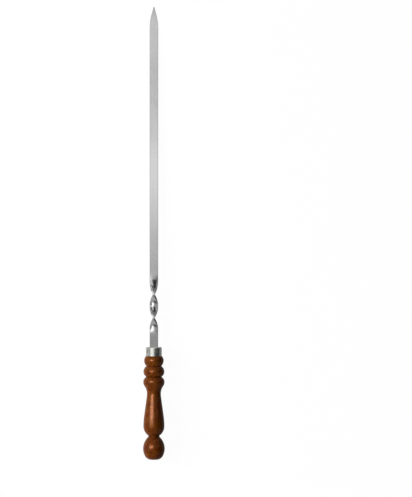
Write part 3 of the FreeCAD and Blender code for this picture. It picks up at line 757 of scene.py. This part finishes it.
class SKEWER_OT_blade(Operator):
    """Draws the bar section along the skewer: tang, shank, twist, flat and point"""
    bl_idname = "skewer.blade"
    bl_label = "Twisted blade"
    tang_step = 0.0002  # inset of the bar's end where the tang starts
    tang_thinner = 0.98  # share of the inset's thickness that the tang keeps

    def turn_at(self, size, along):
        """How far the bar has turned at a distance into the twist."""
        rate = size.twist_angle / (size.twist - size.run_out / 2 - size.run_in / 2)
        left = size.twist - along
        if along < size.run_out:
            return rate * along ** 2 / (2 * size.run_out)
        if left < size.run_in:
            return size.twist_angle - rate * left ** 2 / (2 * size.run_in)
        return rate * (along - size.run_out / 2)

    def draw_on(self, bm, ring, ahead, turn=0.0, faces=(1.0, 1.0), sides=(1.0, 1.0)):
        """Draws the open ring of the section forward, turned and scaled across."""
        made = bmesh.ops.extrude_edge_only(bm, edges=ring["edges"])["geom"]
        verts = verts_of(made)
        kinds = {vert: ring["kinds"][edge.other_vert(vert)] for vert in verts
                 for edge in vert.link_edges if edge.other_vert(vert) in ring["kinds"]}
        for kind, (across, up) in (("face", faces), ("side", sides)):
            chosen = [vert for vert in verts if kinds[vert] == kind]
            bmesh.ops.scale(bm, vec=(1.0, across, up), verts=chosen)
        bmesh.ops.translate(bm, vec=(ahead, 0.0, 0.0), verts=verts)
        if turn:
            bmesh.ops.rotate(bm, cent=(0, 0, 0), matrix=Matrix.Rotation(turn, 3, "X"), verts=verts)
        ring["edges"] = [part for part in made if isinstance(part, bmesh.types.BMEdge)
                         and all(vert in kinds for vert in part.verts)]
        ring["kinds"] = kinds

    def execute(self, context):
        size = context.scene.skewer_blade
        bm = bmesh.new()
        start = CAP_HIGH.x - context.scene.skewer_cap.wall
        w, t = size.width / 2, size.thickness / 2
        f, s = w - size.easing, t - size.easing
        upper = [(f - 2 * f * column / BAR_COLUMNS, t, "face") for column in range(BAR_COLUMNS + 1)]
        lower = [(-y, -z, kind) for y, z, kind in upper]
        spots = (lower + [(w, -s, "side"), (w, s, "side")]
                 + upper + [(-w, s, "side"), (-w, -s, "side")])
        corners = [bm.verts.new((start, y, z)) for y, z, _ in spots]
        kinds = {vert: kind for vert, (_, _, kind) in zip(corners, spots)}
        edges = [bm.edges.new((a, b)) for a, b in zip(corners, corners[1:] + corners[:1])]
        bm.faces.new(corners)
        ring = {"edges": edges, "kinds": kinds, "halves": (f, t, w, s)}

        shank_end = CAP_HIGH.x + size.shank
        self.draw_on(bm, ring, shank_end - start)
        turned = 0.0
        for step in range(1, TWIST_ROWS + 1):
            wanted = self.turn_at(size, size.twist * step / TWIST_ROWS)
            self.draw_on(bm, ring, size.twist / TWIST_ROWS, turn=turned - wanted)
            turned = wanted
        self.draw_on(bm, ring, size.flat)

        swing = arc_size(size.shoulder_run, (size.width - size.root_width) / 2)
        for step in range(1, SHOULDER_ROWS + 1):
            part = step / SHOULDER_ROWS
            half = w - (swing - math.sqrt(swing ** 2 - (part * size.shoulder_run) ** 2))
            thick = t - part * (size.thickness - size.root_thickness) / 2
            self.narrow(bm, ring, size.shoulder_run / SHOULDER_ROWS, half, thick, size.easing)
        self.narrow(bm, ring, size.side_run, size.nose_width / 2, size.nose_thickness / 2,
                    size.easing)
        self.narrow(bm, ring, size.nose_run, size.tip_width / 2, size.tip_thickness / 2,
                    size.tip_easing)
        bmesh.ops.contextual_create(bm, geom=ring["edges"])

        self.round_edges(bm, size)
        self.draw_tang(bm, size, start)
        if abs(max(vert.co.x for vert in bm.verts) - BLADE_HIGH.x) > TIP_MISS:
            raise RuntimeError("the blade's tip is not where the solid has it")
        bmesh.ops.remove_doubles(bm, verts=bm.verts[:], dist=1e-7)
        material = blade_steel(context.scene.skewer_finishes, shank_end, shank_end + size.twist)
        make_piece(bm, "skewer_blade", "blade", material, sharp_degrees=40.0)
        return {"FINISHED"}

    def narrow(self, bm, ring, ahead, half, thick, easing):
        """Draws the ring forward to a narrower and thinner section."""
        after = (half - easing, thick, half, thick - easing)
        f, t, w, s = (new / old for new, old in zip(after, ring["halves"]))
        self.draw_on(bm, ring, ahead, faces=(f, t), sides=(w, s))
        ring["halves"] = after

    def round_edges(self, bm, size):
        """Softens the long edges of the bar."""
        along = []
        for edge in bm.edges:
            a, b = (vert.co for vert in edge.verts)
            if (abs(a.x - b.x) > SAME_POINT and edge.is_manifold
                    and edge.calc_face_angle(0.0) > math.radians(12)):
                along.append(edge)
        soften(bm, along, size.edge_rounding, 3)

    def draw_tang(self, bm, size, start):
        """Draws the narrower tang out of the bar's back end."""
        ends = [face for face in bm.faces if len(face.verts) > 4
                and all(abs(vert.co.x - start) < SAME_PLACE for vert in face.verts)]
        if not ends:
            raise RuntimeError("the blade has no back end to draw the tang from")
        bmesh.ops.inset_region(bm, faces=ends, thickness=self.tang_step, use_even_offset=True)
        verts = list({vert for face in ends for vert in face.verts})
        narrower = (1.0, size.tang_width / size.width, self.tang_thinner)
        bmesh.ops.scale(bm, vec=narrower, verts=verts)
        verts = verts_of(bmesh.ops.extrude_face_region(bm, geom=ends)["geom"])
        bmesh.ops.delete(bm, geom=ends, context="FACES_ONLY")
        bmesh.ops.scale(bm, vec=(1.0, size.tang_end / size.tang_width, 1.0), verts=verts)
        bmesh.ops.translate(bm, vec=(-size.tang, 0.0, 0.0), verts=verts)


class SKEWER_OT_resin(Operator):
    """Gives the resin round the tang its finish"""
    bl_idname = "skewer.resin"
    bl_label = "Tang resin"

    def execute(self, context):
        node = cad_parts["tang_adhesive"]
        node.data.materials.clear()
        node.data.materials.append(cured_resin(context.scene.skewer_finishes))
        return {"FINISHED"}


class SKEWER_OT_studio(Operator):
    """Sets up the floor, the soft light and the camera"""
    bl_idname = "skewer.studio"
    bl_label = "Studio"
    floor_reach = 4.0  # half the sheet's side
    floor_gap = 0.0001  # room left under the skewer
    floor_fade = 0.03  # from the axis to where the sheet's left and right glow are full
    row_height = 0.30  # of the row of panels above the blade
    row_width = 0.18
    row_start = 0.195  # the row's near end, then each panel's far end and its level
    row = ((0.240, 0.30), (0.290, 0.31), (0.335, 0.49), (0.375, 0.73), (0.460, 1.0),
           (0.505, 0.72), (0.590, 0.53), (0.684, 0.66))

    def execute(self, context):
        size = context.scene.skewer_studio
        self.make_floor(context, size)
        self.make_world(context, size)
        self.make_panels(size)
        self.make_camera(context, size)
        context.scene.view_settings.view_transform = "Standard"
        return {"FINISHED"}

    def make_floor(self, context, size):
        """A pale sheet that the rear bead and the start of the point rest on."""
        handle, blade = context.scene.skewer_handle, context.scene.skewer_blade
        bead = (handle_places(handle)[2] - handle.rear_bead_front, -handle.rear_bead / 2)
        foot = (CAP_HIGH.x + blade.shank + blade.twist + blade.flat, -blade.thickness / 2)
        slope = math.atan2(foot[1] - bead[1], foot[0] - bead[0])
        bm = bmesh.new()
        bmesh.ops.create_grid(bm, x_segments=8, y_segments=8, size=self.floor_reach)
        bmesh.ops.rotate(bm, cent=(0, 0, 0), matrix=Matrix.Rotation(-slope, 3, "Y"),
                         verts=bm.verts[:])
        bmesh.ops.translate(bm, vec=(bead[0], 0.0, bead[1] - self.floor_gap), verts=bm.verts[:])
        floor = make_mesh_object(bm, "floor", self.pale_floor(size))

    def pale_floor(self, size):
        """White to the camera. The skewer sees a greyer glowing sheet, brighter at the left:
        painted bounce light, not a lamp.
        """
        material = bpy.data.materials.new("pale_floor")
        material.use_nodes = True
        tree = material.node_tree
        tree.nodes.clear()
        rays = tree.nodes.new("ShaderNodeLightPath").outputs
        cloth = new_node(tree, "ShaderNodeBsdfDiffuse", Color=(0.10, 0.10, 0.10, 1.0))
        paper = new_node(tree, "ShaderNodeEmission", Strength=0.97)
        white = tree.nodes.new("ShaderNodeAddShader")
        put(cloth.outputs[0], white.inputs[0])
        put(paper.outputs[0], white.inputs[1])
        across = split(tree.nodes.new("ShaderNodeTexCoord").outputs["Object"])["Y"]
        # Painted bounce light: the sheet glows for the skewer, brighter on the left where the wash
        # comes from
        glow = spread(across, -self.floor_fade, self.floor_fade, size.floor_right,
                      size.floor_left, smooth=True)
        glow = times(glow, self.dimmed(rays, size))
        grey = new_node(tree, "ShaderNodeEmission", Strength=glow)
        pick = new_node(tree, "ShaderNodeMixShader", Fac=rays["Is Camera Ray"])
        put(grey.outputs[0], pick.inputs[1])
        put(white.outputs[0], pick.inputs[2])
        new_node(tree, "ShaderNodeOutputMaterial", Surface=pick.outputs[0])
        return material

    def dimmed(self, rays, size):
        """How much of the surroundings' light a ray gets: less where it lights matt surfaces."""
        return spread(rays["Is Diffuse Ray"], 0.0, 1.0, 1.0, size.soft)

    def window(self, ways, across, along, soft):
        """A soft-edged patch of the surroundings. Its angles are in degrees from straight above:
        across is towards the left of the skewer, along is towards the point. Soft is how far each
        edge fades, across and along."""
        edges = []
        for way, (low, high), fade in zip(ways, (across, along), soft):
            for edge, ends in ((low, (0.0, 1.0)), (high, (1.0, 0.0))):
                edges.append(spread(way, math.radians(edge - fade), math.radians(edge + fade),
                                    *ends, smooth=True))
        return chain("MULTIPLY", edges)

    def make_world(self, context, size):
        """Grey walls with flags, gaps and dips before them, a softbox and two fainter glows."""
        world = bpy.data.worlds.new("studio")
        context.scene.world = world
        world.use_nodes = True
        tree = world.node_tree
        tree.nodes.clear()
        part = split(tree.nodes.new("ShaderNodeTexCoord").outputs["Generated"])
        ways = (sums("ARCTAN2", part["Y"], part["Z"]), sums("ARCSINE", part["X"]))
        kept = []
        for *patch, lost in (
                ((-118, -14), (-19, 10), (11, 5), size.flag),
                ((-125, -62), (5, 30), (6, 6), size.flag * 0.65),
                ((-70, 16), (30, 42), (3, 3), size.slot),
                ((-14, 20), (-17, -5), (5, 4), size.slot * 0.7),
                ((-16, 16), (-7, 3), (6, 4), size.dip),
                ((62, 90), (-12, 6), (9, 6), size.dip),
                ((46, 130), (-60, -14), (8, 5), size.slot)):
            mask = self.window(ways, *patch)
            kept.append(sums("SUBTRACT", 1.0, times(mask, lost)))
        level = times(chain("MULTIPLY", kept), size.walls)
        for *patch, radiance in (
                ((5, 58), (2, 17), (5, 4), size.key),
                ((4, 47), (-8, 2), (9, 5), size.key * 0.85),
                ((8, 54), (6, 16), (7, 3), size.core),
                ((-62, 4), (13, 27), (5, 5), size.head),
                ((86, 126), (3, 26), (8, 5), size.side)):
            level = weigh(level, (self.window(ways, *patch), radiance))
        rays = tree.nodes.new("ShaderNodeLightPath").outputs
        level = times(level, self.dimmed(rays, size))
        level = sums("MAXIMUM", level, rays["Is Camera Ray"])
        back = new_node(tree, "ShaderNodeBackground", Strength=level)
        new_node(tree, "ShaderNodeOutputWorld", Surface=back.outputs[0])

    def make_panel(self, name, middle, distance, spans, radiance, aside=0, ahead=0):
        """An area light that faces a place on the skewer's axis, turned in degrees from straight
        above it to the left and towards the point. The camera never sees it."""
        light = bpy.data.lights.new(name, "AREA")
        light.shape = "RECTANGLE"
        light.size, light.size_y = spans
        light.energy = radiance * math.pi * light.size * light.size_y
        panel = make_object(name, light)
        panel.matrix_world = (Matrix.Translation((middle, 0.0, 0.0))
                              @ Matrix.Rotation(-math.radians(aside), 4, "X")
                              @ Matrix.Rotation(math.radians(ahead), 4, "Y")
                              @ Matrix.Translation((0.0, 0.0, distance)))
        panel.visible_camera = False
        return panel

    def make_panels(self, size):
        """A broad soft light from the left that models the wood and leaves no mirror image, a
        strong strip that only the lacquer mirrors, and a row of narrow panels above the flat of
        the blade, side by side, which also show only as reflections."""
        wash = self.make_panel("wash", middle=0.2, distance=1.5, spans=(1.6, 1.0),
                               radiance=size.wash, aside=57)
        wash.visible_glossy = False
        strip = self.make_panel("strip", middle=0.08, distance=2.0, spans=(0.42, 1.3),
                                radiance=size.strip, aside=26, ahead=10)
        strip.visible_diffuse = False
        lacquered = bpy.data.collections.new("lacquered")
        lacquered.objects.link(bpy.data.objects["turned_handle"])
        strip.light_linking.receiver_collection = lacquered
        low = self.row_start
        for high, level in self.row:
            panel = self.make_panel("top", (low + high) / 2, self.row_height,
                                    (high - low, self.row_width), size.top * level)
            panel.visible_diffuse = False
            low = high

    def make_camera(self, context, size):
        data = bpy.data.cameras.new("camera")
        data.lens = size.lens
        data.clip_start = 0.05
        data.clip_end = 20.0
        camera = make_object("camera", data)
        camera.location = (size.camera_ahead, -size.camera_aside, size.camera_height)
        camera.rotation_euler = (0.0, 0.0, -math.pi / 2)
        context.scene.camera = camera


class SKEWER_PT_panel(Panel):
    """Lists the steps that build the skewer"""
    bl_idname = "SKEWER_PT_panel"
    bl_label = "Kebab skewer"
    bl_space_type = "VIEW_3D"
    bl_region_type = "UI"
    bl_category = "Skewer"

    def draw(self, context):
        for step in STEPS:
            self.layout.operator(step.bl_idname)
        for group, kind in SETTINGS.items():
            column = self.layout.column(align=True)
            column.label(text=kind.__doc__)
            for name in kind.__annotations__:
                column.prop(getattr(context.scene, group), name)


SETTINGS = {
    "skewer_handle": HandleSizes,
    "skewer_cap": CapSizes,
    "skewer_blade": BladeSizes,
    "skewer_finishes": Finishes,
    "skewer_studio": Studio,
}
STEPS = (SKEWER_OT_handle, SKEWER_OT_cap, SKEWER_OT_blade, SKEWER_OT_resin, SKEWER_OT_studio)


def register():
    for kind in (*SETTINGS.values(), *STEPS, SKEWER_PT_panel):
        bpy.utils.register_class(kind)
    for name, kind in SETTINGS.items():
        setattr(bpy.types.Scene, name, PointerProperty(type=kind))


def unregister():
    for name in SETTINGS:
        delattr(bpy.types.Scene, name)
    for kind in reversed((*SETTINGS.values(), *STEPS, SKEWER_PT_panel)):
        bpy.utils.unregister_class(kind)


def main():
    register()
    bpy.ops.skewer.handle()
    bpy.ops.skewer.cap()
    bpy.ops.skewer.blade()
    bpy.ops.skewer.resin()
    bpy.ops.skewer.studio()


if __name__ == "__main__":
    main()
